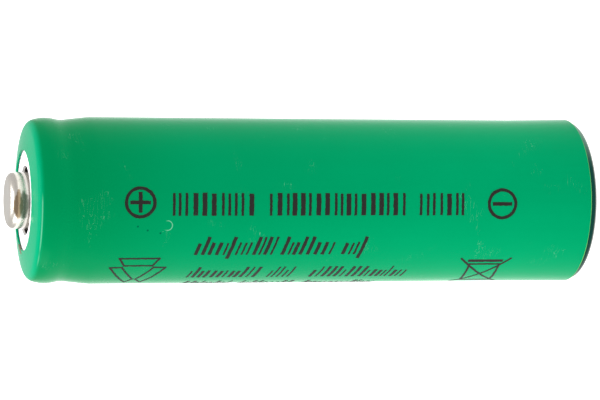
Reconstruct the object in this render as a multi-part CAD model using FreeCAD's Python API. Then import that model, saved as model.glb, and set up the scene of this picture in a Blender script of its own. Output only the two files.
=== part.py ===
import FreeCAD, Part
import math
import os

# Rechargeable nickel-metal hydride cell, size AA.
# The cell's axis is +Z. z = 0 is the flat negative face, and the positive button is at the top.
# Every size is in millimetres. Turned parts are drawn as (radius, height, fillet) corners.

# ---- overall size ----
cell_length = 50.50           # negative face to the top of the button
sleeve_radius = 7.10          # outside of the shrink sleeve along the body
sleeve_wall = 0.10
fit_gap = 0.01                # between pieces that touch on the real cell

# ---- steel can: base, wall, rolled groove and turned-in rim ----
can_radius = sleeve_radius - sleeve_wall - fit_gap
can_wall = 0.25
can_corner = 0.60             # outside radius where the base meets the wall
groove_radius = 6.05          # outside of the can at the groove's floor
groove_low = 43.95            # where the wall turns in to the groove
groove_floor = (45.15, 46.35)
groove_high = 46.75           # where the groove turns back out to the bead
groove_fillet = 0.25
shoulder_fillet = 1.50        # below the groove
bead_radius = 6.87            # the sized bead above the groove
bead_fillet = 0.60
rim_corner_height = 48.46     # where the bead and the turned-in rim would meet
rim_corner = 0.90
rim_radius = 5.10             # free edge of the turned-in rim
rim_height = 48.60

# ---- closure: lid, cap, gasket and sealant ----
lid_top = 48.10
lid_thickness = 0.50
lid_radius = 6.15
lid_edge_fillet = 0.10
vent_hole_radius = 0.60
seat_flat_radius = 0.80       # raised ring round the vent hole, which the vent seals on
seat_foot_radius = 1.00
seat_height = 0.12
cap_wall = 0.30
button_radius = 2.41
button_corner = 0.65
flange_radius = 4.20
flange_fillet = 0.42
flange_lift = 0.06            # the flange stands this far off the lid on its weld spots
cap_weld_count = 4
cap_weld_circle = 3.35
cap_weld_radius = 0.45
vent_slot_count = 4
vent_slot_width = 1.00
vent_slot_inner = 1.90
vent_slot_outer = 2.85
vent_slot_rise = 0.38         # above the flange's top face
gasket_base = 46.95
gasket_foot_radius = 5.35     # inside of the gasket below the lid
gasket_lip_radius = 4.75      # inside of the gasket above the lid
sealant_radius = 5.95         # inside of the sealant under the gasket
sealant_base = 46.55

# ---- resealing vent, under the button ----
vent_radius = 1.55
vent_facing_thickness = 0.12
vent_disc_thickness = 0.22
plug_radius = 1.65
plug_fillet = 0.15

# ---- insulating washer on the positive end ----
washer_hole = 2.95
washer_radius = 5.60
washer_thickness = 0.20
washer_flat = 48.72           # underside of its flat middle
washer_bend_radius = 4.60     # outside this the washer slopes down over the turned-in rim
washer_bend_fillet = 0.80
washer_edge = 48.60           # underside at its outer edge

# ---- shrink sleeve ----
sleeve_foot = 0.70            # lower cut edge
sleeve_flare = 0.08           # the loose lower edge stands out by this much
sleeve_flare_top = 6.00
sleeve_flare_fillet = 10.00
sleeve_dip = (43.66, 46.11, 47.34)  # where the sleeve sinks over the groove
sleeve_dip_depth = 0.28
sleeve_dip_fillets = (6.40, 2.45, 3.06)
sleeve_bead_radius = 7.13
sleeve_shoulder = (6.73, 48.79)     # where the side and the turned-over face would meet
sleeve_shoulder_fillet = 0.90
sleeve_hole = 4.27            # where the shrunk lip ends, round the button
sleeve_lip_top = 49.16
sleeve_lip_thickness = 0.15   # the film is thickest where it shrinks most

# ---- electrode roll ----
positive_thickness = 0.60
separator_thickness = 0.12
grid_thickness = 0.06
coat_thickness = 0.15         # hydride alloy on each side of the negative grid
roll_start = 2.20             # inside of the positive electrode's first turn
separator_span = (0.60, 42.80)      # lower and upper edge heights
negative_span = (1.20, 42.00)
positive_span = (1.40, 41.60)
positive_turns = (0.00, 2.48)       # where each strip starts and ends, in turns
negative_turns = (-0.90, 2.60)
inner_separator_turns = (-1.00, 2.58)
outer_separator_turns = (-1.00, 1.62)

# ---- insulating discs at the ends of the roll ----
lower_disc_span = (0.30, 0.50)
lower_disc_radius = 6.30
lower_disc_hole = 1.30
upper_disc_span = (43.00, 43.30)
upper_disc_radius = 6.50
upper_disc_hole = 1.60
tab_slot_width = 3.20
tab_slot_clearance = 0.25

# ---- positive tab and its tape ----
tab_turn = 2                  # the turn of the positive electrode that carries the tab
tab_width = 2.60
tab_thickness = 0.10
tab_foot = 36.60
tab_low_run = 45.00           # the run that crosses above the roll
tab_bend = 0.80
tab_fold = -4.60              # where the tab folds back under the lid
tab_end = -1.10
tape_width = 3.30
tape_thickness = 0.04
tape_span = (36.20, 42.60)
pocket_width = 3.50           # pressed into the positive electrode for the tab
pocket_foot = 36.10
pocket_web = 0.08             # what is left of the electrode behind the pocket

# ---- worked out from the values above ----
lid_underside = lid_top - lid_thickness
flange_underside = lid_top + flange_lift
flange_top = flange_underside + cap_wall
vent_foot = lid_top + seat_height + fit_gap
disc_foot = vent_foot + vent_facing_thickness + fit_gap
plug_foot = disc_foot + vent_disc_thickness + fit_gap
plug_head = cell_length - cap_wall - fit_gap

separator_in = positive_thickness + fit_gap           # depths into one pitch of the roll
coat_in = separator_in + separator_thickness + fit_gap
grid_at = coat_in + coat_thickness + fit_gap
coat_out = grid_at + grid_thickness + fit_gap
separator_out = coat_out + coat_thickness + fit_gap
pitch = separator_out + separator_thickness + fit_gap

pocket_floor = roll_start + pitch * tab_turn + pocket_web
inner_tape_face = pocket_floor + fit_gap
tab_face = inner_tape_face + tape_thickness + fit_gap
outer_tape_face = tab_face + tab_thickness + fit_gap

can_path = [
    (0, 0, 0),
    (can_radius, 0, can_corner),
    (can_radius, groove_low, shoulder_fillet),
    (groove_radius, groove_floor[0], groove_fillet),
    (groove_radius, groove_floor[1], groove_fillet),
    (bead_radius, groove_high, bead_fillet),
    (bead_radius, rim_corner_height, rim_corner),
    (rim_radius, rim_height, 0),
]


# ---- sections: straight runs joined by tangent arcs, in the XZ plane ----

def section_point(corner):
    return FreeCAD.Vector(corner[0], 0, corner[1])


def fillet_arc(before, corner, after, fillet):
    """Start, middle and end of the arc that rounds a corner."""
    back = (before - corner).normalize()
    ahead = (after - corner).normalize()
    half_angle = back.getAngle(ahead) / 2
    tangent = fillet / math.tan(half_angle)
    bisector = (back + ahead).normalize()
    middle = corner + bisector * (fillet / math.sin(half_angle) - fillet)
    return corner + back * tangent, middle, corner + ahead * tangent


def path_edges(corners, closed):
    """The edges of a path, each fillet an arc between its two runs."""
    points = [section_point(corner) for corner in corners]
    count = len(points)
    stations = []
    for i, corner in enumerate(corners):
        if corner[2]:
            after = points[(i + 1) % count]
            stations.append(fillet_arc(points[i - 1], points[i], after, corner[2]))
        else:
            stations.append((points[i],))
    edges = [Part.Arc(*station).toShape() for station in stations if len(station) == 3]
    followers = stations[1:] + stations[:1] if closed else stations[1:]
    for station, follower in zip(stations, followers):
        if station[-1].distanceToPoint(follower[0]) > fit_gap / 100:
            edges.append(Part.makeLine(station[-1], follower[0]))
    return edges


def shifted(corners, distance):
    """The same path moved to its left, with its arcs concentric."""
    points = [section_point(corner) for corner in corners]
    headings = [(b - a).normalize() for a, b in zip(points, points[1:])]
    lefts = [FreeCAD.Vector(-heading.z, 0, heading.x) for heading in headings]
    moved = []
    for i, (_, _, fillet) in enumerate(corners):
        before = lefts[max(i - 1, 0)]
        after = lefts[min(i, len(lefts) - 1)]
        place = points[i] + (before + after) * (distance / (1 + before.dot(after)))
        turns_left = before.cross(after).y < 0
        growth = -distance if turns_left else distance
        moved.append((place.x, place.z, fillet + growth if fillet else 0))
    return moved


def flat_face(edges):
    return Part.Face(Part.Wire(Part.__sortEdges__(edges)))


def turned(corners):
    """A solid turned about Z from a closed section."""
    section = flat_face(path_edges(corners, closed=True))
    return section.revolve(FreeCAD.Vector(), FreeCAD.Vector(0, 0, 1), 360)


def sheet_face(path, other_side):
    """The section of a bent sheet, between the two paths of its faces."""
    near = path_edges(path, closed=False)
    far = path_edges(other_side, closed=False)
    ends = [
        Part.makeLine(section_point(path[i]), section_point(other_side[i]))
        for i in (0, -1)
    ]
    return flat_face(near + far + ends)


def turned_sheet(path, other_side):
    face = sheet_face(path, other_side)
    return face.revolve(FreeCAD.Vector(), FreeCAD.Vector(0, 0, 1), 360)


def disc(radius, low, high, hole=0):
    corners = [(hole, low, 0), (radius, low, 0), (radius, high, 0), (hole, high, 0)]
    return turned(corners)


def block(x_span, width, z_span):
    """A box centred on the XZ plane."""
    corner = FreeCAD.Vector(x_span[0], -width / 2, z_span[0])
    return Part.makeBox(x_span[1] - x_span[0], width, z_span[1] - z_span[0], corner)


def around_axis(shape, count, first_angle=0):
    """Copies of a shape at equal angles about Z."""
    copies = []
    for i in range(count):
        copy = shape.copy()
        copy.rotate(FreeCAD.Vector(), FreeCAD.Vector(0, 0, 1), first_angle + 360 * i / count)
        copies.append(copy)
    return copies


# ---- can and sleeve ----

def steel_can():
    return turned_sheet(can_path, shifted(can_path, can_wall))


def can_cavity():
    """The room inside the can, up to its turned-in rim."""
    wall = shifted(can_path, can_wall + fit_gap)
    return turned(wall + [(0, wall[-1][1], 0)])


def shrink_sleeve():
    """Film shrunk over the side, sunk over the groove and turned over the positive end."""
    dip_low, dip_middle, dip_high = sleeve_dip
    fillet_low, fillet_middle, fillet_high = sleeve_dip_fillets
    outside = [
        (sleeve_radius + sleeve_flare, sleeve_foot, 0),
        (sleeve_radius, sleeve_flare_top, sleeve_flare_fillet),
        (sleeve_radius, dip_low, fillet_low),
        (sleeve_radius - sleeve_dip_depth, dip_middle, fillet_middle),
        (sleeve_bead_radius, dip_high, fillet_high),
        (*sleeve_shoulder, sleeve_shoulder_fillet),
        (sleeve_hole, sleeve_lip_top, 0),
    ]
    inside = shifted(outside, sleeve_wall)
    inside[-1] = (sleeve_hole, sleeve_lip_top - sleeve_lip_thickness, 0)
    return turned_sheet(outside, inside)


def top_washer():
    underside = [
        (washer_hole, washer_flat, 0),
        (washer_bend_radius, washer_flat, washer_bend_fillet),
        (washer_radius, washer_edge, 0),
    ]
    return turned_sheet(underside, shifted(underside, washer_thickness))


# ---- closure ----

def lid_plate():
    """Disc with a central vent hole and a raised seat round it."""
    seat_top = lid_top + seat_height
    corners = [
        (vent_hole_radius, lid_underside, 0),
        (lid_radius, lid_underside, lid_edge_fillet),
        (lid_radius, lid_top, lid_edge_fillet),
        (seat_foot_radius, lid_top, 0),
        (seat_flat_radius, seat_top, 0),
        (vent_hole_radius, seat_top, 0),
    ]
    return turned(corners)


def positive_cap():
    """Drawn button with a flange, weld spots under it and vent slots at the button's foot."""
    outside = [
        (0, cell_length, 0),
        (button_radius, cell_length, button_corner),
        (button_radius, flange_top, flange_fillet),
        (flange_radius, flange_top, 0),
    ]
    cap = turned_sheet(outside, shifted(outside, -cap_wall))
    spot_height = flange_lift - fit_gap + cap_wall / 2
    spot_place = FreeCAD.Vector(cap_weld_circle, 0, lid_top + fit_gap)
    spot = Part.makeCylinder(cap_weld_radius, spot_height, spot_place)
    first_spot = 180 / cap_weld_count
    cap = cap.fuse(around_axis(spot, cap_weld_count, first_spot)).removeSplitter()
    slot_z = (lid_top, flange_top + vent_slot_rise)
    slot = block((vent_slot_inner, vent_slot_outer), vent_slot_width, slot_z)
    return cap.cut(around_axis(slot, vent_slot_count))


def sealing_gasket():
    """Nylon ring that holds the lid's edge inside the can's rim."""
    foot = disc(can_radius, gasket_base, lid_top, gasket_foot_radius)
    lip = disc(can_radius, lid_top, rim_height, gasket_lip_radius)
    lid_room = disc(lid_radius + fit_gap, lid_underside - fit_gap, lid_top + fit_gap)
    return foot.fuse(lip).cut(lid_room).common(can_cavity()).removeSplitter()


def sealant_ring():
    """Sealant in the wedge between the gasket and the groove's shoulder."""
    ring = disc(can_radius, sealant_base, gasket_base - fit_gap, sealant_radius)
    return ring.common(can_cavity())


# ---- resealing vent ----

def vent_facing():
    return disc(vent_radius, vent_foot, vent_foot + vent_facing_thickness)


def vent_disc():
    return disc(vent_radius, disc_foot, disc_foot + vent_disc_thickness)


def vent_plug():
    corners = [
        (0, plug_foot, 0),
        (plug_radius, plug_foot, plug_fillet),
        (plug_radius, plug_head, plug_fillet),
        (0, plug_head, 0),
    ]
    return turned(corners)


# ---- electrode roll ----

def spiral_point(depth, turn, half_turn):
    """A point of the arc of one half turn; odd and even half turns have two centres."""
    centre = pitch / 4 if half_turn % 2 else -pitch / 4
    radius = roll_start + depth + pitch / 4 + half_turn * pitch / 2
    angle = 2 * math.pi * turn
    return FreeCAD.Vector(centre + radius * math.cos(angle), radius * math.sin(angle), 0)


def spiral_edges(depth, turns):
    """Arcs that wind outwards by one pitch a turn."""
    edges = []
    for half_turn in range(math.floor(2 * turns[0]), math.ceil(2 * turns[1])):
        start = max(turns[0], half_turn / 2)
        end = min(turns[1], (half_turn + 1) / 2)
        places = [spiral_point(depth, turn, half_turn) for turn in (start, (start + end) / 2, end)]
        edges.append(Part.Arc(*places).toShape())
    return edges


def wound_strip(depth, thickness, turns, span):
    """A strip wound into the roll, at a depth into each pitch."""
    inside = spiral_edges(depth, turns)
    outside = spiral_edges(depth + thickness, turns)
    ends = [
        Part.makeLine(inside[0].firstVertex().Point, outside[0].firstVertex().Point),
        Part.makeLine(inside[-1].lastVertex().Point, outside[-1].lastVertex().Point),
    ]
    strip = flat_face(inside + outside + ends).extrude(FreeCAD.Vector(0, 0, span[1] - span[0]))
    strip.translate(FreeCAD.Vector(0, 0, span[0]))
    return strip


def positive_electrode():
    """Nickel strip with a pocket for the tab on one turn."""
    strip = wound_strip(0, positive_thickness, positive_turns, positive_span)
    turn_outside = roll_start + pitch * tab_turn + separator_in
    pocket = block((pocket_floor, turn_outside), pocket_width, (pocket_foot, positive_span[1]))
    return strip.cut(pocket)


# ---- tab, tape and insulating discs ----

def positive_tab():
    """Strip from the positive electrode, across the roll and back under the lid."""
    tab_top = lid_underside - fit_gap
    path = [
        (tab_face, tab_foot, 0),
        (tab_face, tab_low_run, tab_bend),
        (tab_fold, tab_low_run, tab_bend),
        (tab_fold, tab_top, tab_bend),
        (tab_end, tab_top, 0),
    ]
    face = sheet_face(path, shifted(path, -tab_thickness))
    tab = face.extrude(FreeCAD.Vector(0, tab_width, 0))
    tab.translate(FreeCAD.Vector(0, -tab_width / 2, 0))
    return tab


def tab_tape():
    """A strip of tape on each face of the tab."""
    strips = [
        block((face, face + tape_thickness), tape_width, tape_span)
        for face in (inner_tape_face, outer_tape_face)
    ]
    return Part.makeCompound(strips)


def upper_insulator():
    plate = disc(upper_disc_radius, *upper_disc_span, upper_disc_hole)
    slot_x = (tab_face - tab_slot_clearance, tab_face + tab_thickness + tab_slot_clearance)
    return plate.cut(block(slot_x, tab_slot_width, upper_disc_span))


def lower_insulator():
    return disc(lower_disc_radius, *lower_disc_span, lower_disc_hole)


parts = {
    "steel_can": steel_can(),
    "shrink_sleeve": shrink_sleeve(),
    "top_washer": top_washer(),
    "lid_plate": lid_plate(),
    "positive_cap": positive_cap(),
    "sealing_gasket": sealing_gasket(),
    "sealant_ring": sealant_ring(),
    "vent_facing": vent_facing(),
    "vent_disc": vent_disc(),
    "vent_plug": vent_plug(),
    "positive_electrode": positive_electrode(),
    "negative_grid": wound_strip(grid_at, grid_thickness, negative_turns, negative_span),
    "negative_coat_inner": wound_strip(coat_in, coat_thickness, negative_turns, negative_span),
    "negative_coat_outer": wound_strip(coat_out, coat_thickness, negative_turns, negative_span),
    "separator_inner": wound_strip(
        separator_in, separator_thickness, inner_separator_turns, separator_span),
    "separator_outer": wound_strip(
        separator_out, separator_thickness, outer_separator_turns, separator_span),
    "positive_tab": positive_tab(),
    "tab_tape": tab_tape(),
    "upper_insulator": upper_insulator(),
    "lower_insulator": lower_insulator(),
}

os.makedirs("parts", exist_ok=True)
for node, shape in parts.items():
    shape.exportStep("parts/" + node + ".step")
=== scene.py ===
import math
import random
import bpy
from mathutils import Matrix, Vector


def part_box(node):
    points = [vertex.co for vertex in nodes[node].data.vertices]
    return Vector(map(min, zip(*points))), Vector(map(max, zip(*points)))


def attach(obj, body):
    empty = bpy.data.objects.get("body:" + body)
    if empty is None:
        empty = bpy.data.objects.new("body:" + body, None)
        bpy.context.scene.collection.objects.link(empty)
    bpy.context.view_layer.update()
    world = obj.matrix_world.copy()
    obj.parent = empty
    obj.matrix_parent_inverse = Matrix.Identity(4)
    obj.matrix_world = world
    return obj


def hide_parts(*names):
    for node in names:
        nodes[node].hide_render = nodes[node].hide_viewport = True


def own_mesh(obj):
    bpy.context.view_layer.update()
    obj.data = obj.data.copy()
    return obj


bl_info = {
    "name": "Sleeved battery cell",
    "version": (1, 0, 0),
    "blender": (4, 5, 0),
    "location": "3D Viewport > Sidebar > Cell",
    "description": "Finishes a rechargeable cell in a printed shrink sleeve around its packed model",
    "category": "Object",
}

import bmesh
import bpy
from bpy.props import FloatProperty, FloatVectorProperty, IntProperty, PointerProperty
from mathutils import Matrix, Vector, noise
from mathutils.geometry import delaunay_2d_cdt

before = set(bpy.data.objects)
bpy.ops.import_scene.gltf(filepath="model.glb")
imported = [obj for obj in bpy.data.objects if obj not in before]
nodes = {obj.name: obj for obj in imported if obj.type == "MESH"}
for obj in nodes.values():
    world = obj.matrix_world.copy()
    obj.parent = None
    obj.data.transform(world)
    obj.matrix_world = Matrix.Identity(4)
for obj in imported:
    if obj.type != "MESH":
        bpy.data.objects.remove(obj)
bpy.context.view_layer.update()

MM = 0.001
CELL = "cell"

sleeve_low, sleeve_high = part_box("shrink_sleeve")
cap_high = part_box("positive_cap")[1]
plug_low, plug_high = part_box("vent_plug")

CELL_LENGTH = cap_high.z
SLEEVE_RADIUS = 7.10 * MM
SLEEVE_FLARE = sleeve_high.x - SLEEVE_RADIUS
LABEL_UP = Vector((1, 0, 0))


# ---- shader helpers ----

class Value:
    """A shader socket that takes part in Python expressions."""

    def __init__(self, shader, socket):
        self.shader = shader
        self.socket = socket

    def math(self, operation, *others, clamp=False):
        sockets = dict(enumerate((self, *others)))
        return self.shader.node("Math", {"operation": operation, "use_clamp": clamp}, sockets)

    def __add__(self, other):
        return self.math("ADD", other)

    def __radd__(self, other):
        return self.math("ADD", other)

    def __sub__(self, other):
        return self.math("SUBTRACT", other)

    def __rsub__(self, other):
        return self.shader.node("Math", {"operation": "SUBTRACT"}, {0: other, 1: self})

    def __mul__(self, other):
        return self.math("MULTIPLY", other)

    def __rmul__(self, other):
        return self.math("MULTIPLY", other)

    def __truediv__(self, other):
        return self.math("DIVIDE", other)

    def __abs__(self):
        return self.math("ABSOLUTE")


class Shader:
    """A material's nodes, ending in one Principled surface."""

    def __init__(self, name):
        self.material = bpy.data.materials.new(name)
        self.material.use_nodes = True
        self.tree = self.material.node_tree
        self.tree.nodes.clear()
        self.place = self.node("TexCoord", output="Object")

    def node(self, kind, settings=None, sockets=None, output=0):
        """Adds a node: its settings first, then the values or links of its sockets."""
        added = self.tree.nodes.new("ShaderNode" + kind)
        for key, setting in (settings or {}).items():
            setattr(added, key, setting)
        for key, value in (sockets or {}).items():
            if isinstance(value, Value):
                self.tree.links.new(value.socket, added.inputs[key])
            else:
                added.inputs[key].default_value = value
        return Value(self, added.outputs[output]) if len(added.outputs) else added

    def noise(self, scale, detail=3.0, roughness=0.5, place=None, stretch=None):
        """Noise from 0 to 1; scale is in features per millimetre."""
        where = place or self.place
        if stretch:
            where = self.vector("MULTIPLY", where, stretch)
        sockets = {"Vector": where, "Scale": scale / MM, "Detail": detail, "Roughness": roughness}
        return self.node("TexNoise", None, sockets)

    def vector(self, operation, first, second, output=0):
        return self.node("VectorMath", {"operation": operation}, {0: first, 1: second}, output)

    def between(self, value, low, high):
        """0 at low and 1 at high, smooth between them."""
        settings = {"interpolation_type": "SMOOTHSTEP"}
        sockets = {"Value": value, "From Min": low, "From Max": high}
        return self.node("MapRange", settings, sockets)

    def mix(self, factor, first, second):
        """Mixes two colours."""
        sockets = {0: factor, 6: first, 7: second}
        return self.node("Mix", {"data_type": "RGBA"}, sockets, output=2)

    def bump(self, height, depth, strength=1.0):
        """A bump whose height of 1 stands for the depth, in millimetres."""
        sockets = {"Strength": strength, "Distance": depth * MM, "Height": height}
        return self.node("Bump", None, sockets)

    def reach_from(self, *centre):
        """The distance from a place given in millimetres."""
        offset = self.vector("SUBTRACT", self.place, [part * MM for part in centre])
        return self.vector("LENGTH", offset, (0, 0, 0), output=1)

    def parts_of_place(self):
        split = self.node("SeparateXYZ", None, {0: self.place})
        outputs = split.socket.node.outputs
        return [Value(self, outputs[axis]) for axis in ("X", "Y", "Z")]

    def surface(self, **sockets):
        """Ends the material in a Principled surface; underscores stand for spaces."""
        named = {key.replace("_", " "): value for key, value in sockets.items()}
        shaded = self.node("BsdfPrincipled", None, named)
        self.node("OutputMaterial", None, {"Surface": shaded})
        return self.material


def solid_color(red, green, blue):
    return (red, green, blue, 1.0)


# ---- materials of the outside ----

def film_material(settings):
    """Pigmented shrink film: glossy, faintly streaked along the cell, scuffed and scratched; its colour also
    carries painted shade towards the positive end, painted light towards the negative end and on the end
    face, and a painted highlight on the shoulder crease.
    """
    film = Shader("green_film")
    x, y, z = film.parts_of_place()
    tone = settings.film_color
    # Painted light and shade, not film tones: a darker green for the upper body, a lighter one for the lower
    # body, and a lighter one still for the end face round the lip.
    painted_shade_upper = solid_color(tone[0], tone[1] * 0.85, tone[2] * 0.73)
    painted_light_lower = solid_color(tone[0], tone[1] * 1.15, tone[2] * 1.20)
    painted_lit_face = solid_color(tone[0], tone[1] * 1.33, tone[2] * 1.66)
    deep = solid_color(0.0, tone[1] * 0.80, tone[2] * 0.75)
    # Light green for worn scratches, also used for the painted highlight along the shoulder crease.
    worn_and_highlight = solid_color(0.30, 0.62, 0.46)
    cut = solid_color(0.30, 0.60, 0.10)
    cloud = film.noise(0.18, detail=4.0)
    streaks = film.noise(2.2, detail=2.0, stretch=(1.0, 1.0, 0.03))
    # Painted shade and light by height: darker from 34 mm upwards, lighter from 36 mm down to 8 mm and
    # below, and a painted lit end face above 48.3 mm.
    color = film.mix(film.between(z, 46 * MM, 34 * MM), painted_shade_upper, (*tone, 1.0))
    color = film.mix(film.between(z, 36 * MM, 8 * MM), color, painted_light_lower)
    color = film.mix(film.between(z, 48.3 * MM, 48.8 * MM), color, painted_lit_face)
    color = film.mix((cloud * 0.55 + streaks * 0.25 - 0.25) * 0.5, color, deep)

    grain = film.noise(9.0, detail=2.0)
    scratch_field = film.noise(1.6, detail=1.0, stretch=(0.45, 0.45, 2.4))
    scratch_line = film.between(abs(scratch_field - 0.5), 0.004, 0.0)
    scratch_patch = film.between(film.noise(0.35, detail=1.0), 0.62, 0.72)
    curl = film.between(abs(film.reach_from(-2.10, -6.78, 38.10) - 0.42 * MM), 0.05 * MM, 0.01 * MM)
    curl = curl * film.between(z, 38.30 * MM, 38.00 * MM)
    # Painted highlight: a thin lighter line along the shoulder crease on the near side, mixed in with the
    # real scratches and the curled scratch.
    painted_crease_highlight = film.between(abs(z - 48.55 * MM), 0.07 * MM, 0.01 * MM) * film.between(y, -3.5 * MM, -5.0 * MM)
    painted_crease_highlight = painted_crease_highlight * film.between(x, 0.8 * MM, -0.4 * MM) * film.between(cloud, 0.35, 0.55)
    scratches_and_crease_highlight = (scratch_line * scratch_patch + curl + painted_crease_highlight * 0.7).math("MINIMUM", 1.0)
    color = film.mix(scratches_and_crease_highlight * 0.45, color, worn_and_highlight)

    specks = [film.between(film.reach_from(*centre), 0.11 * MM, 0.05 * MM)
              for centre in ((-2.17, -6.76, 40.60), (-2.50, -6.65, 39.75), (-2.73, -6.56, 38.65))]
    color = film.mix(sum(specks) * 0.8, color, solid_color(0.0, 0.05, 0.03))

    edge_rise = sleeve_low.z + 0.055 * MM
    cut_edge = film.between(z, edge_rise, sleeve_low.z + 0.02 * MM)
    color = film.mix(cut_edge * 0.85, color, cut)

    scuff_offset = film.vector("SUBTRACT", film.place, (-4.15 * MM, 1.65 * MM, 49.10 * MM))
    along = film.vector("DOT_PRODUCT", scuff_offset, (0.38, 0.92, 0.0), output=1)
    across = film.vector("DOT_PRODUCT", scuff_offset, (0.92, -0.38, 0.0), output=1)
    reach = (along / (0.95 * MM)).math("POWER", 2.0) + (across / (0.32 * MM)).math("POWER", 2.0)
    scuff = film.between(reach + film.noise(3.0) * 0.5, 1.35, 0.85)
    color = film.mix(scuff * 0.85, color, solid_color(0.16, 0.12, 0.09))

    rough = settings.film_roughness + grain * 0.05 + scratches_and_crease_highlight * 0.25 + scuff * 0.35
    waves = film.noise(0.55, detail=2.0, stretch=(1.0, 1.0, 0.45))
    height = waves * 0.8 + grain * 0.05 + streaks * 0.10 - scratches_and_crease_highlight * 0.15
    return film.surface(
        Base_Color=color,
        Roughness=rough,
        IOR=1.10,
        Specular_Tint=solid_color(0.0, 1.0, 0.55),
        Normal=film.bump(height, 0.010, 0.6),
    )


def ink_material(settings):
    """Stamped ink, dull and brown-black, thin in pinholes."""
    ink = Shader("print_ink")
    body = (*settings.ink_color, 1.0)
    thin = solid_color(0.010, 0.050, 0.026)
    mottle = ink.noise(3.0, detail=4.0, roughness=0.7)
    pinholes = ink.between(ink.noise(5.5, detail=2.0), 0.66, 0.74)
    color = ink.mix(mottle * 0.6, body, solid_color(0.018, 0.012, 0.009))
    color = ink.mix(pinholes * 0.9, color, thin)
    return ink.surface(
        Base_Color=color,
        Roughness=0.48 + mottle * 0.2,
        IOR=1.22,
        Normal=ink.bump(mottle, 0.004, 0.5),
    )


def metal(name, tint, rough, lines, tarnish_and_painted_reflection=0.25):
    """Nickel plate: fine lines one way, cloudy tarnish and small pits."""
    plate = Shader(name)
    cloud = plate.noise(0.9, detail=5.0, roughness=0.6)
    fine = plate.noise(14.0, detail=3.0, stretch=lines)
    pits = plate.between(plate.noise(8.0, detail=2.0), 0.70, 0.76)
    stained = solid_color(tint[0] * 0.62, tint[1] * 0.56, tint[2] * 0.46)
    color = plate.mix(cloud * tarnish_and_painted_reflection + pits * 0.4, (*tint, 1.0), stained)
    return plate.surface(
        Base_Color=color,
        Metallic=1.0,
        Roughness=rough + fine * 0.14 + cloud * 0.08 + pits * 0.2,
        Normal=plate.bump(fine * 0.7 + cloud * 0.3 - pits, 0.004, 0.5),
    )


def cap_material():
    """Satin nickel button with a brighter wall, and painted dark reflections on the near side of that wall:
    dark brown higher up and dark green lower down.
    """
    cap = Shader("cap_nickel")
    x, y, z = cap.parts_of_place()
    cloud = cap.noise(1.1, detail=5.0, roughness=0.65)
    fine = cap.noise(13.0, detail=3.0)
    pits = cap.between(cap.noise(7.0, detail=2.0), 0.69, 0.75)
    clean = solid_color(0.62, 0.59, 0.54)
    stained = solid_color(0.40, 0.35, 0.28)
    # Painted reflection: a dark brown patch on the near (-Y) side of the button's wall stands for a dark
    # surround mirrored in the nickel.
    painted_brown_reflection = solid_color(0.20, 0.13, 0.055)
    on_wall = cap.between(z, cap_high.z - 0.30 * MM, cap_high.z - 0.55 * MM)
    across = (x / MM + 0.40) / 1.25
    rise = (z / MM - 49.85) / 0.42
    reach = across * across + rise * rise + (cap.noise(2.4, detail=4.0) - 0.5) * 1.6
    painted_reflection_patch = cap.between(reach, 1.1, 0.6) * cap.between(y, -1.6 * MM, -2.0 * MM)
    color = cap.mix(cloud * 0.35 + pits * 0.4, clean, stained)
    color = cap.mix(painted_reflection_patch * 0.85, color, painted_brown_reflection)
    # Painted reflection: a dark green patch lower down on the near side of the wall.
    rise = (z / MM - 49.36) / 0.42
    reach = across * across + rise * rise + (cap.noise(3.0, detail=3.0) - 0.5) * 0.8
    painted_foot_reflection = cap.between(reach, 1.2, 0.5) * cap.between(y, -1.6 * MM, -2.0 * MM)
    color = cap.mix(painted_foot_reflection * 0.85, color, solid_color(0.05, 0.08, 0.045))
    return cap.surface(
        Base_Color=color,
        Metallic=1.0,
        Roughness=0.24 - on_wall * 0.14 + fine * 0.10 + cloud * 0.06 + pits * 0.15,
        Normal=cap.bump(fine * 0.6 + cloud * 0.5 - pits, 0.004, 0.6),
    )


def can_material():
    """Nickel-plated can: drawn lines up its side, faint turning marks and scuffs on its base, and a painted
    dark green reflection round its base corner.
    """
    can = Shader("can_nickel")
    x, _, z = can.parts_of_place()
    radius = can.vector("LENGTH", can.vector("MULTIPLY", can.place, (1.0, 1.0, 0.0)), (0, 0, 0), output=1)
    rings = can.node("TexNoise", {"noise_dimensions": "1D"}, {"W": radius, "Scale": 3.5 / MM, "Detail": 4.0})
    drawn = can.noise(10.0, detail=3.0, stretch=(1.0, 1.0, 0.05))
    on_base = can.between(z, 0.35 * MM, 0.05 * MM)
    cloud = can.noise(0.45, detail=5.0, roughness=0.6)
    scuff_lines = can.between(abs(can.noise(0.5, detail=1.0, stretch=(1.6, 0.5, 1.0)) - 0.5), 0.006, 0.0)
    scuffs = scuff_lines * can.between(can.noise(0.6), 0.50, 0.62) * on_base
    color = can.mix(cloud * 0.35, solid_color(0.60, 0.59, 0.56), solid_color(0.36, 0.34, 0.30))
    color = can.mix(scuffs * 0.35, color, solid_color(0.80, 0.79, 0.76))
    # Painted reflection: the rounded base corner darkened to a dark green, lighter towards +X.
    corner = can.between(z, 0.02 * MM, 0.30 * MM) * can.between(z, 1.2 * MM, 0.9 * MM)
    tarnish_and_painted_reflection = can.mix(can.between(x, 2.5 * MM, 6.0 * MM),
                      solid_color(0.004, 0.035, 0.028), solid_color(0.07, 0.16, 0.12))
    color = can.mix(corner * can.between(radius, 6.0 * MM, 6.35 * MM), color, tarnish_and_painted_reflection)
    lines = rings * on_base + drawn * (1 - on_base)
    return can.surface(
        Base_Color=color,
        Metallic=1.0,
        Roughness=0.22 + lines * 0.12 + cloud * 0.12 + scuffs * 0.15,
        Normal=can.bump(lines + cloud * 0.4 - scuffs * 0.3, 0.004, 0.5),
    )


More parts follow.
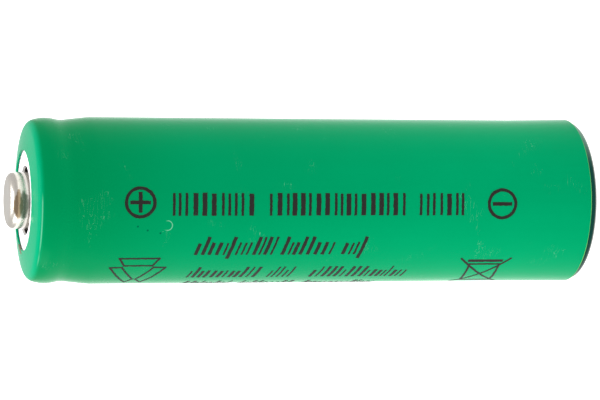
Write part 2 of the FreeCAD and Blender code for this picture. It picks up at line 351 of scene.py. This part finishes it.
def washer_material():
    """White fibre board, with pressed fibres and a few grey smudges."""
    board = Shader("white_washer")
    fibres = board.noise(6.0, detail=4.0, stretch=(1.0, 0.35, 1.0))
    smudge = board.between(board.noise(0.8, detail=4.0), 0.60, 0.80)
    color = board.mix(fibres * 0.20, solid_color(0.90, 0.90, 0.93), solid_color(0.78, 0.78, 0.80))
    color = board.mix(smudge * 0.35, color, solid_color(0.62, 0.60, 0.58))
    return board.surface(
        Base_Color=color,
        Roughness=0.60 + fibres * 0.2,
        IOR=1.45,
        Normal=board.bump(fibres, 0.010, 0.5),
    )


# ---- materials of the inside ----

def plain_finish(name, light, dark, rough, scale, depth, metallic=0.0, stretch=(1, 1, 1)):
    """Two tones of one colour mixed by noise, with a bump of the same grain."""
    finish = Shader(name)
    grain = finish.noise(scale, detail=4.0, roughness=0.6, stretch=stretch)
    cloud = finish.noise(scale / 6, detail=3.0)
    color = finish.mix(grain * 0.6 + cloud * 0.4, solid_color(*light), solid_color(*dark))
    return finish.surface(
        Base_Color=color,
        Metallic=metallic,
        Roughness=rough + grain * 0.15,
        Normal=finish.bump(grain, depth, 0.6),
    )


def grid_material():
    """Nickel-plated strip punched with rows of small round holes."""
    grid = Shader("grid_steel")
    cells = grid.node("TexVoronoi", {"feature": "F1"},
                      {"Vector": grid.place, "Scale": 0.8 / MM, "Randomness": 0.15}, output="Distance")
    hole = grid.between(cells, 0.36, 0.30)
    grain = grid.noise(8.0)
    color = grid.mix(hole, solid_color(0.58, 0.57, 0.54), solid_color(0.06, 0.06, 0.06))
    return grid.surface(
        Base_Color=color,
        Metallic=1.0 - hole,
        Roughness=0.32 + grain * 0.1 + hole * 0.4,
        Normal=grid.bump(grain * 0.2 - hole, 0.02, 0.6),
    )


def felt_material():
    """Non-woven felt: fine pale fibres laid every way."""
    felt = Shader("separator_felt")
    one_way = felt.noise(7.0, detail=3.0, stretch=(1.0, 1.0, 0.25))
    other_way = felt.noise(7.0, detail=3.0, stretch=(0.3, 0.3, 1.6))
    fibres = one_way.math("MAXIMUM", other_way)
    color = felt.mix(fibres, solid_color(0.62, 0.61, 0.57), solid_color(0.90, 0.90, 0.88))
    return felt.surface(
        Base_Color=color,
        Roughness=0.85 + fibres * 0.1,
        Sheen_Weight=0.2,
        Normal=felt.bump(fibres, 0.02, 0.8),
    )


def inside_finishes():
    """The finishes of the sealed inner pieces, by node."""
    tab = metal("tab_nickel", (0.66, 0.64, 0.60), 0.26, (1.0, 1.0, 0.05), tarnish_and_painted_reflection=0.15)
    coat = plain_finish("hydride_alloy", (0.16, 0.16, 0.16), (0.05, 0.05, 0.055), 0.62, 6.0, 0.02,
                        metallic=0.35)
    felt = felt_material()
    board = plain_finish("fibre_disc", (0.78, 0.75, 0.66), (0.60, 0.57, 0.49), 0.78, 4.0, 0.02)
    return {
        "positive_electrode": plain_finish(
            "nickel_paste", (0.12, 0.16, 0.13), (0.035, 0.055, 0.045), 0.70, 5.0, 0.03, metallic=0.1),
        "negative_grid": grid_material(),
        "negative_coat_inner": coat,
        "negative_coat_outer": coat,
        "separator_inner": felt,
        "separator_outer": felt,
        "positive_tab": tab,
        "tab_tape": plain_finish(
            "tab_tape", (0.62, 0.30, 0.06), (0.48, 0.20, 0.03), 0.18, 3.0, 0.004),
        "upper_insulator": board,
        "lower_insulator": board,
    }


# ---- meshes ----

def new_object(name, mesh, material):
    item = bpy.data.objects.new(name, mesh)
    mesh.materials.append(material)
    bpy.context.scene.collection.objects.link(item)
    return item


def finish_mesh(name, points, faces, sharp_degrees):
    """A mesh with outward faces, smooth but for edges sharper than an angle."""
    mesh = bpy.data.meshes.new(name)
    mesh.from_pydata(points, [], faces)
    shape = bmesh.new()
    shape.from_mesh(mesh)
    bmesh.ops.recalc_face_normals(shape, faces=shape.faces)
    shape.to_mesh(mesh)
    shape.free()
    mesh.shade_smooth()
    mesh.set_sharp_from_angle(angle=math.radians(sharp_degrees))
    return mesh


def rounded_path(corners, longest_run, arc_step=math.radians(7)):
    """Points along straight runs joined by tangent arcs, from (radius, height, fillet) corners."""
    points = [Vector(corner[:2]) for corner in corners]
    path = [points[0]]
    for i in range(1, len(points)):
        if i < len(points) - 1 and corners[i][2]:
            back = (points[i - 1] - points[i]).normalized()
            ahead = (points[i + 1] - points[i]).normalized()
            half_angle = back.angle(ahead) / 2
            fillet = corners[i][2]
            start = points[i] + back * (fillet / math.tan(half_angle))
            centre = points[i] + (back + ahead).normalized() * (fillet / math.sin(half_angle))
            swing = math.pi - 2 * half_angle
            turn = swing if back.cross(ahead) < 0 else -swing
            steps = max(4, math.ceil(swing / arc_step))
            arc = []
            for step in range(steps + 1):
                spoke = start - centre
                spoke.rotate(Matrix.Rotation(turn * step / steps, 2))
                arc.append(centre + spoke)
        else:
            arc = [points[i]]
        run = arc[0] - path[-1]
        pieces = max(1, math.ceil(run.length / longest_run))
        path += [path[-1] + run * (piece / pieces) for piece in range(1, pieces)]
        path += arc
    return path


def lathe(name, profile, segments, bend):
    """A closed section turned about Z; bend moves each point of (radius, height) at an angle."""
    points = []
    for segment in range(segments):
        angle = 2 * math.pi * segment / segments
        for place in profile:
            radius, height = bend(place[0], place[1], angle)
            points.append((radius * math.cos(angle), radius * math.sin(angle), height))
    count = len(profile)
    faces = []
    for segment in range(segments):
        following = (segment + 1) % segments
        for i in range(count):
            j = (i + 1) % count
            faces.append((segment * count + i, following * count + i,
                          following * count + j, segment * count + j))
    return finish_mesh(name, points, faces, sharp_degrees=35)


def ripple(angle, waves, phase):
    return sum(math.sin(count * angle + phase * count * count) for count in waves) / len(waves)


# ---- the shrink sleeve ----

class FilmSettings(bpy.types.PropertyGroup):
    film_color: FloatVectorProperty(
        name="Film colour", description="Pigment of the shrink film",
        default=(0.0, 0.221, 0.082), subtype="COLOR", min=0.0, max=1.0)
    film_roughness: FloatProperty(
        name="Film roughness", description="Roughness of clean film", default=0.20, min=0.0, max=1.0)
    film_wall: FloatProperty(
        name="Film thickness", description="Wall of the shrunk film",
        default=0.10 * MM, unit="LENGTH", subtype="DISTANCE")
    groove_dip: FloatProperty(
        name="Dip over the groove", description="How far the film sinks over the can's groove",
        default=0.28 * MM, unit="LENGTH", subtype="DISTANCE")
    hole_radius: FloatProperty(
        name="Lip radius", description="Radius of the hole left by the shrunk lip",
        default=4.27 * MM, unit="LENGTH", subtype="DISTANCE")
    unevenness: FloatProperty(
        name="Unevenness", description="How far the lip and the cut edge wander",
        default=0.035 * MM, unit="LENGTH", subtype="DISTANCE")
    segments: IntProperty(
        name="Segments", description="Steps round the sleeve", default=240, min=24, max=720)


def sleeve_profile(settings):
    """The closed section of the film, outside first."""
    top = sleeve_high.z
    wall = settings.film_wall

    def side(inset):
        radius = SLEEVE_RADIUS - inset
        return [
            (radius + SLEEVE_FLARE, sleeve_low.z, 0),
            (radius, 6.0 * MM, 10 * MM),
            (radius, 43.66 * MM, 6.40 * MM - inset),
            (radius - settings.groove_dip, 46.11 * MM, 2.45 * MM + inset),
            (radius + 0.03 * MM, 47.34 * MM, 3.06 * MM - inset),
            (6.73 * MM - 0.79 * inset, 48.79 * MM - 0.89 * inset, 0.80 * MM - inset),
        ]

    lip = (settings.hole_radius, top, 0)
    inner_lip = (settings.hole_radius, top - 1.5 * wall, 0)
    far = rounded_path(side(0) + [lip], 0.9 * MM)
    near = rounded_path(side(wall) + [inner_lip], 3.0 * MM)
    lip_middle = (Vector(lip[:2]) + Vector(inner_lip[:2])) / 2 - Vector((0.02 * MM, 0))
    return far + [lip_middle] + near[::-1]


def sleeve_bend(settings):
    """How the shrunk film departs from a turned shape."""
    foot = sleeve_low.z
    top = sleeve_high.z

    def bend(radius, height, angle):
        near_foot = max(0.0, 1 - (height - foot) / (5.4 * MM))
        radius -= SLEEVE_FLARE * near_foot * 0.28 * (1 - math.cos(angle))
        at_edge = max(0.0, 1 - (height - foot) / (0.4 * MM))
        height += settings.unevenness * at_edge * (0.6 + 0.4 * ripple(angle, (2, 5, 9), 0.7))
        if height > top - 1.5 * MM and radius < 6.6 * MM:
            inward = min(1.0, (6.6 * MM - radius) / (6.6 * MM - settings.hole_radius))
            pull = ripple(angle, (3, 7, 12), 1.3) * inward * inward
            radius += settings.unevenness * pull
            pleats = math.sin(46 * angle + 2.0 * ripple(angle, (3, 5), 0.4))
            height += 0.006 * MM * pleats * inward
            height -= 0.035 * MM * (1 - math.sin(angle)) * inward * inward
        spot = Vector((math.cos(angle), math.sin(angle), height / (9 * MM)))
        if height < top - 1.5 * MM:
            radius -= 0.004 * MM * (1 + noise.noise(spot * 1.7))
        return radius, height

    return bend


class CELL_OT_shrink_sleeve(bpy.types.Operator):
    """Make the shrink sleeve, with its dip over the groove, its shrunk lip and its cut edge"""

    bl_idname = "cell.shrink_sleeve"
    bl_label = "Shrink sleeve"

    def execute(self, context):
        settings = context.scene.cell_film
        profile = sleeve_profile(settings)
        mesh = lathe("sleeve_film", profile, settings.segments, sleeve_bend(settings))
        sleeve = new_object("sleeve_film", mesh, film_material(settings))
        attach(sleeve, CELL)
        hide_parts("shrink_sleeve")
        return {"FINISHED"}


# ---- printing on the sleeve ----
# Flat shapes have (along, up) places in millimetres: along runs towards the negative end
# from the positive end, and up runs round the sleeve, towards +X from its -Y side.

class PrintSettings(bpy.types.PropertyGroup):
    ink_color: FloatVectorProperty(
        name="Ink colour", description="Colour of the stamped ink",
        default=(0.009, 0.008, 0.007), subtype="COLOR", min=0.0, max=1.0)
    ink_height: FloatProperty(
        name="Ink height", description="How far the ink stands off the film",
        default=0.012 * MM, unit="LENGTH", subtype="DISTANCE")
    ink_ragged: FloatProperty(
        name="Raggedness", description="How far the ink's edges wander",
        default=0.035 * MM, unit="LENGTH", subtype="DISTANCE")


STEP = 0.14    # longest edge of a printed shape, in millimetres


def stroke(start, end, width):
    """A straight stroke with square ends."""
    start = Vector(start)
    end = Vector(end)
    run = end - start
    aside = Vector((-run.y, run.x)).normalized() * (width / 2)
    steps = max(1, math.ceil(run.length / STEP))
    line = [start + run * (step / steps) for step in range(steps + 1)]
    return [[line[i] - aside, line[i + 1] - aside, line[i + 1] + aside, line[i] + aside]
            for i in range(steps)]


def ring(centre, radius, width, start=0.0, end=360.0):
    """An arc of a circle with a width."""
    steps = max(8, math.ceil(math.radians(end - start) * radius / STEP))
    spokes = []
    for step in range(steps + 1):
        angle = math.radians(start + (end - start) * step / steps)
        spokes.append(Vector((math.cos(angle), math.sin(angle))))
    middle = Vector(centre)
    inner = radius - width / 2
    outer = radius + width / 2
    return [[middle + spokes[i] * outer, middle + spokes[i + 1] * outer,
             middle + spokes[i + 1] * inner, middle + spokes[i] * inner]
            for i in range(steps)]


def outline(corners, width):
    """Strokes round a closed figure."""
    shapes = []
    for first, second in zip(corners, corners[1:] + corners[:1]):
        run = (Vector(second) - Vector(first)).normalized() * (width / 2)
        shapes += stroke(Vector(first) - run, Vector(second) + run, width)
    return shapes


def tick_row(words, base, height, heavy, light, gap, slant, seed):
    """Rows of upright ticks in groups, as wide and as dark as lines of print."""
    draw = random.Random(seed)
    shapes = []
    for start, end, lows in words:
        along = start
        while along < end - light:
            width = heavy if draw.random() < 0.55 else light
            tall = height * (draw.choice((0.66, 0.70, 1.0)) if lows else draw.choice((1.0, 1.0, 0.97)))
            foot = base - (0.25 * height if lows and draw.random() < 0.08 else 0.0)
            lean = math.tan(math.radians(slant))
            middle = along + width / 2
            shapes += stroke((middle + lean * (foot - base), foot),
                             (middle + lean * tall, base + tall), width)
            along += width + gap * draw.uniform(0.75, 1.3)
    return shapes


def join_shapes(shapes):
    """The union of flat shapes, as points and triangles."""
    points = []
    faces = []
    for shape in shapes:
        faces.append(list(range(len(points), len(points) + len(shape))))
        points += shape
    joined = delaunay_2d_cdt(points, [], faces, 1, 1e-5)
    inked = [tuple(face) for face, covered_by in zip(joined[2], joined[5]) if covered_by]
    return joined[0], inked


def printed(name, shapes, settings, material):
    """Ink on the sleeve: the shapes joined, made ragged, wrapped round the side and thickened."""
    flat, faces = join_shapes(shapes)
    ragged = settings.ink_ragged / MM
    levels = (SLEEVE_RADIUS + 0.001 * MM, SLEEVE_RADIUS + settings.ink_height)
    points = []
    for level in levels:
        for place in flat:
            coarse = noise.noise_vector(Vector((place.x * 3.1, place.y * 3.1, 4.0)))
            fine = noise.noise_vector(Vector((place.x * 9.0, place.y * 9.0, 9.0)))
            moved = place + (coarse * 0.5 + fine).xy * ragged
            angle = moved.y * MM / SLEEVE_RADIUS
            points.append((level * math.sin(angle), -level * math.cos(angle), CELL_LENGTH - moved.x * MM))
    count = len(flat)
    uses = {}
    for face in faces:
        for i, corner in enumerate(face):
            edge = (corner, face[(i + 1) % len(face)])
            uses.setdefault(frozenset(edge), []).append(edge)
    walls = [(a, b, b + count, a + count) for ((a, b), *others) in uses.values() if not others]
    lower = [face[::-1] for face in faces]
    upper = [tuple(corner + count for corner in face) for face in faces]
    mesh = finish_mesh(name, points, lower + upper + walls, sharp_degrees=50)
    ink = new_object(name, mesh, material)
    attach(ink, CELL)
    return ink


PLUS_PLACE = (10.07, -0.17)
MINUS_PLACE = (41.66, -0.30)
MARK_RADIUS = 1.20
MARK_LINE = 0.27
ARM = 0.86
ARM_ALONG = 0.30    # width of the stroke along the cell
ARM_UP = 0.33       # width of the plus's upright stroke


class CELL_OT_polarity_marks(bpy.types.Operator):
    """Print the ringed plus and the ringed minus"""

    bl_idname = "cell.polarity_marks"
    bl_label = "Polarity marks"

    def execute(self, context):
        settings = context.scene.cell_print
        ink = ink_material(settings)
        for name, (along, up) in (("plus_mark", PLUS_PLACE), ("minus_mark", MINUS_PLACE)):
            shapes = ring((along, up), MARK_RADIUS, MARK_LINE)
            shapes += stroke((along - ARM, up), (along + ARM, up), ARM_ALONG)
            if name == "plus_mark":
                shapes += stroke((along, up - ARM), (along, up + ARM), ARM_UP)
            printed(name, shapes, settings, ink)
        return {"FINISHED"}


# each row: name, words as (start, end, has low letters), base, height, heavy, light, gap, slant
ROWS = [
    ("print_row_one", [(12.8, 20.2, False), (21.1, 33.35, False), (34.25, 38.7, False)],
     -1.28, 1.90, 0.40, 0.22, 0.36, 0.0),
    ("print_row_two", [(14.9, 21.8, True), (22.4, 26.9, True), (27.7, 29.9, True)],
     -4.97, 1.80, 0.30, 0.17, 0.30, 14.0),
    ("print_row_three", [(14.8, 20.8, True), (21.8, 23.8, True), (25.5, 34.1, True)],
     -8.25, 1.75, 0.26, 0.15, 0.28, 14.0),
    ("print_row_four", [(14.8, 18.9, True), (19.8, 24.5, True), (25.4, 31.8, True)],
     -11.00, 1.70, 0.26, 0.15, 0.28, 14.0),
]


class CELL_OT_print_rows(bpy.types.Operator):
    """Print rows of plain ticks, grouped like lines of print"""

    bl_idname = "cell.print_rows"
    bl_label = "Print rows"

    def execute(self, context):
        settings = context.scene.cell_print
        ink = bpy.data.materials["print_ink"]
        for seed, (name, words, base, height, heavy, light, gap, slant) in enumerate(ROWS):
            shapes = tick_row(words, base, height, heavy, light, gap, slant, seed)
            printed(name, shapes, settings, ink)
        return {"FINISHED"}


LOOP_PLACE = (10.38, -7.10)
BOX_PLACE = (40.90, -7.60)
LOOP_LINE = 0.17
BOX_LINE = 0.19


class CELL_OT_plain_signs(bpy.types.Operator):
    """Print two plain signs: a ring of three outlined bars and a crossed frame"""

    bl_idname = "cell.plain_signs"
    bl_label = "Plain signs"

    def execute(self, context):
        settings = context.scene.cell_print
        ink = bpy.data.materials["print_ink"]
        middle = Vector(LOOP_PLACE)
        shapes = []
        for turn in (90, 210, 330):
            spoke = Vector((math.cos(math.radians(turn)), math.sin(math.radians(turn))))
            aside = Vector((-spoke.y, spoke.x))
            corners = [middle + spoke * out + aside * over
                       for out, over in ((0.85, -1.2), (0.85, 1.2), (1.75, 1.7), (1.75, -1.7))]
            shapes += outline(corners, LOOP_LINE)
        printed("three_bar_sign", shapes, settings, ink)
        middle = Vector(BOX_PLACE)
        frame_corners = [middle + Vector(corner) for corner in
                         ((-1.35, -1.9), (1.35, -1.9), (1.35, 1.3), (-1.35, 1.3))]
        shapes = outline(frame_corners, BOX_LINE)
        shapes += stroke(middle + Vector((-1.6, 1.75)), middle + Vector((1.6, 1.75)), 0.30)
        shapes += stroke(middle + Vector((-2.3, 2.1)), middle + Vector((2.1, -2.5)), BOX_LINE)
        shapes += stroke(middle + Vector((2.3, 2.1)), middle + Vector((-2.1, -2.5)), BOX_LINE)
        printed("crossed_frame_sign", shapes, settings, ink)
        return {"FINISHED"}


# ---- carried parts ----

def finish_node(node, material):
    """Gives a carried part its finish."""
    mesh = nodes[node].data
    mesh.materials.clear()
    mesh.materials.append(material)


class CELL_OT_terminals(bpy.types.Operator):
    """Finish the can, the button and the white washer"""

    bl_idname = "cell.terminals"
    bl_label = "Terminals"

    def execute(self, context):
        finish_node("steel_can", can_material())
        finish_node("positive_cap", cap_material())
        finish_node("top_washer", washer_material())
        return {"FINISHED"}


class CELL_OT_closure(bpy.types.Operator):
    """Finish the lid, the gasket and the sealant"""

    bl_idname = "cell.closure"
    bl_label = "Closure"

    def execute(self, context):
        finish_node("lid_plate", metal("lid_nickel", (0.62, 0.61, 0.58), 0.24, (1.0, 1.0, 1.0)))
        finish_node("sealing_gasket", plain_finish(
            "nylon", (0.84, 0.82, 0.74), (0.74, 0.71, 0.62), 0.38, 1.5, 0.004))
        finish_node("sealant_ring", plain_finish(
            "sealant", (0.035, 0.028, 0.022), (0.012, 0.010, 0.008), 0.15, 1.2, 0.02))
        return {"FINISHED"}


class VentSettings(bpy.types.PropertyGroup):
    plug_crown: FloatProperty(
        name="Plug crown", description="How far the squeezed plug bulges at its middle",
        default=0.05 * MM, unit="LENGTH", subtype="DISTANCE")


class CELL_OT_vent(bpy.types.Operator):
    """Make the rubber plug and finish the disc and its facing"""

    bl_idname = "cell.vent"
    bl_label = "Safety vent"

    def execute(self, context):
        crown = context.scene.cell_vent.plug_crown
        radius = 1.65 * MM - crown
        foot = plug_low.z
        head = plug_high.z
        corners = [(0.0004 * MM, foot, 0), (radius, foot, 0.15 * MM),
                   (radius, head, 0.15 * MM), (0.0004 * MM, head, 0)]
        profile = rounded_path(corners, 0.15 * MM)

        def bulge(reach, height, angle):
            share = (height - foot) / (head - foot)
            return reach + crown * 4 * share * (1 - share) * (reach / radius), height

        rubber = plain_finish("vent_rubber", (0.045, 0.045, 0.045), (0.02, 0.02, 0.02), 0.6, 5.0, 0.01)
        plug = new_object("rubber_plug", lathe("rubber_plug", profile, 64, bulge), rubber)
        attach(plug, CELL)
        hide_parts("vent_plug")
        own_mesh(plug)
        finish_node("vent_facing", plain_finish(
            "facing_rubber", (0.07, 0.07, 0.07), (0.03, 0.03, 0.03), 0.55, 5.0, 0.01))
        finish_node("vent_disc", metal("disc_steel", (0.62, 0.61, 0.58), 0.24, (1.0, 0.1, 1.0)))
        return {"FINISHED"}


class CELL_OT_electrode_roll(bpy.types.Operator):
    """Finish the electrodes, separators, tab, tape and insulating discs"""

    bl_idname = "cell.electrode_roll"
    bl_label = "Electrode roll"

    def execute(self, context):
        for node, material in inside_finishes().items():
            finish_node(node, material)
        return {"FINISHED"}


# ---- the stage ----

FLOOR_GAP = 0.02 * MM    # keeps the floor out of the plane of the cell's base
AIM_ASIDE = 0.029 * MM

class StageSettings(bpy.types.PropertyGroup):
    floor_color: FloatVectorProperty(
        name="Floor colour", description="Colour of the plain floor",
        default=(0.60, 0.60, 0.60), subtype="COLOR", min=0.0, max=1.0)
    floor_glow: FloatProperty(
        name="Floor glow", description="Light given off by the translucent floor, lit from below",
        default=0.95, min=0.0)
    floor_radius: FloatProperty(
        name="Floor radius", description="Radius of the floor",
        default=3.0, unit="LENGTH", subtype="DISTANCE")
    sky_strength: FloatProperty(
        name="Surround strength", description="Brightness of the soft surround", default=0.80, min=0.0)
    key_power: FloatProperty(
        name="Key power", description="Power of the soft light at one side, in watts", default=2.0, min=0.0)
    overhead_power: FloatProperty(
        name="Overhead power", description="Power of the soft light above, in watts", default=4.6, min=0.0)
    camera_distance: FloatProperty(
        name="Camera distance", description="From the camera to the point it aims at",
        default=232.92 * MM, unit="LENGTH", subtype="DISTANCE")
    camera_rise: FloatProperty(
        name="Camera rise", description="How far the camera looks down",
        default=math.radians(15.007), unit="ROTATION", subtype="ANGLE")
    aim_height: FloatProperty(
        name="Aim height", description="Height of the point that the camera aims at",
        default=24.906 * MM, unit="LENGTH", subtype="DISTANCE")
    lens: FloatProperty(
        name="Lens", description="Focal length on a 36 mm wide sensor, in millimetres", default=161.25)


def soft_light(name, place, aim, size, power, color=(1.0, 1.0, 1.0)):
    """A rectangular soft light that faces a point."""
    data = bpy.data.lights.new(name, "AREA")
    data.shape = "RECTANGLE"
    data.size, data.size_y = size
    data.energy = power
    data.color = color
    lamp = bpy.data.objects.new(name, data)
    bpy.context.scene.collection.objects.link(lamp)
    lamp.location = place
    lamp.rotation_euler = (Vector(aim) - Vector(place)).to_track_quat("-Z", "Y").to_euler()
    return lamp


class CELL_OT_stage(bpy.types.Operator):
    """Set up the floor, the soft lights and the camera"""

    bl_idname = "cell.stage"
    bl_label = "Stage"

    def execute(self, context):
        scene = context.scene
        settings = scene.cell_stage
        scene.view_settings.view_transform = "Standard"
        self.add_floor(settings)
        self.add_lights(scene, settings)
        self.add_camera(scene, settings)
        return {"FINISHED"}

    def add_floor(self, settings):
        cloth = Shader("floor_paint")
        mottle = cloth.noise(0.02, detail=2.0)
        tone = tuple(settings.floor_color)
        paint = cloth.surface(
            Base_Color=cloth.mix(mottle * 0.05, (*tone, 1.0), (*[0.97 * part for part in tone], 1.0)),
            Roughness=0.9,
            IOR=1.2,
            Emission_Color=(1.0, 1.0, 1.0, 1.0),
            Emission_Strength=settings.floor_glow,
        )
        mesh = bpy.data.meshes.new("floor")
        shape = bmesh.new()
        bmesh.ops.create_circle(shape, cap_ends=True, segments=96, radius=settings.floor_radius)
        shape.to_mesh(mesh)
        shape.free()
        floor = new_object("floor", mesh, paint)
        floor.location.z = -FLOOR_GAP

    def add_lights(self, scene, settings):
        world = bpy.data.worlds.new("soft_surround")
        world.use_nodes = True
        background = world.node_tree.nodes["Background"]
        background.inputs["Color"].default_value = (1.0, 1.0, 1.0, 1.0)
        background.inputs["Strength"].default_value = settings.sky_strength
        scene.world = world
        middle = (0, 0, CELL_LENGTH / 2)
        soft_light("key", (-0.55, -0.02, 0.20), middle, (0.30, 0.30), settings.key_power)
        soft_light("overhead", (0.0, 0.0, 0.65), middle, (0.50, 0.50), settings.overhead_power)

    def add_camera(self, scene, settings):
        data = bpy.data.cameras.new("camera")
        data.lens = settings.lens
        data.clip_start = 0.01
        camera = bpy.data.objects.new("camera", data)
        scene.collection.objects.link(camera)
        rise = settings.camera_rise
        forward = Vector((0, math.cos(rise), -math.sin(rise)))
        across = forward.cross(LABEL_UP)
        turn = Matrix((across, LABEL_UP, -forward)).transposed()
        aim = Vector((AIM_ASIDE, 0, settings.aim_height))
        place = Matrix.Translation(aim - forward * settings.camera_distance)
        camera.matrix_world = place @ turn.to_4x4()
        scene.camera = camera


# ---- panel and registration ----

SETTINGS = {
    "cell_film": FilmSettings,
    "cell_print": PrintSettings,
    "cell_vent": VentSettings,
    "cell_stage": StageSettings,
}

OPERATORS = (
    CELL_OT_stage,
    CELL_OT_shrink_sleeve,
    CELL_OT_polarity_marks,
    CELL_OT_print_rows,
    CELL_OT_plain_signs,
    CELL_OT_terminals,
    CELL_OT_closure,
    CELL_OT_vent,
    CELL_OT_electrode_roll,
)


class CELL_PT_parts(bpy.types.Panel):
    """The cell's pieces and their settings"""

    bl_idname = "CELL_PT_parts"
    bl_label = "Battery cell"
    bl_space_type = "VIEW_3D"
    bl_region_type = "UI"
    bl_category = "Cell"

    def draw(self, context):
        for name, group in SETTINGS.items():
            box = self.layout.box()
            for key in group.__annotations__:
                box.prop(getattr(context.scene, name), key)
        for operator in OPERATORS:
            self.layout.operator(operator.bl_idname)


def register():
    for item in (*SETTINGS.values(), *OPERATORS, CELL_PT_parts):
        bpy.utils.register_class(item)
    for name, group in SETTINGS.items():
        setattr(bpy.types.Scene, name, PointerProperty(type=group))


def unregister():
    for name in SETTINGS:
        delattr(bpy.types.Scene, name)
    for item in (CELL_PT_parts, *OPERATORS[::-1], *list(SETTINGS.values())[::-1]):
        bpy.utils.unregister_class(item)


def main():
    register()
    for operator in OPERATORS:
        group, action = operator.bl_idname.split(".")
        getattr(getattr(bpy.ops, group), action)()


if __name__ == "__main__":
    main()
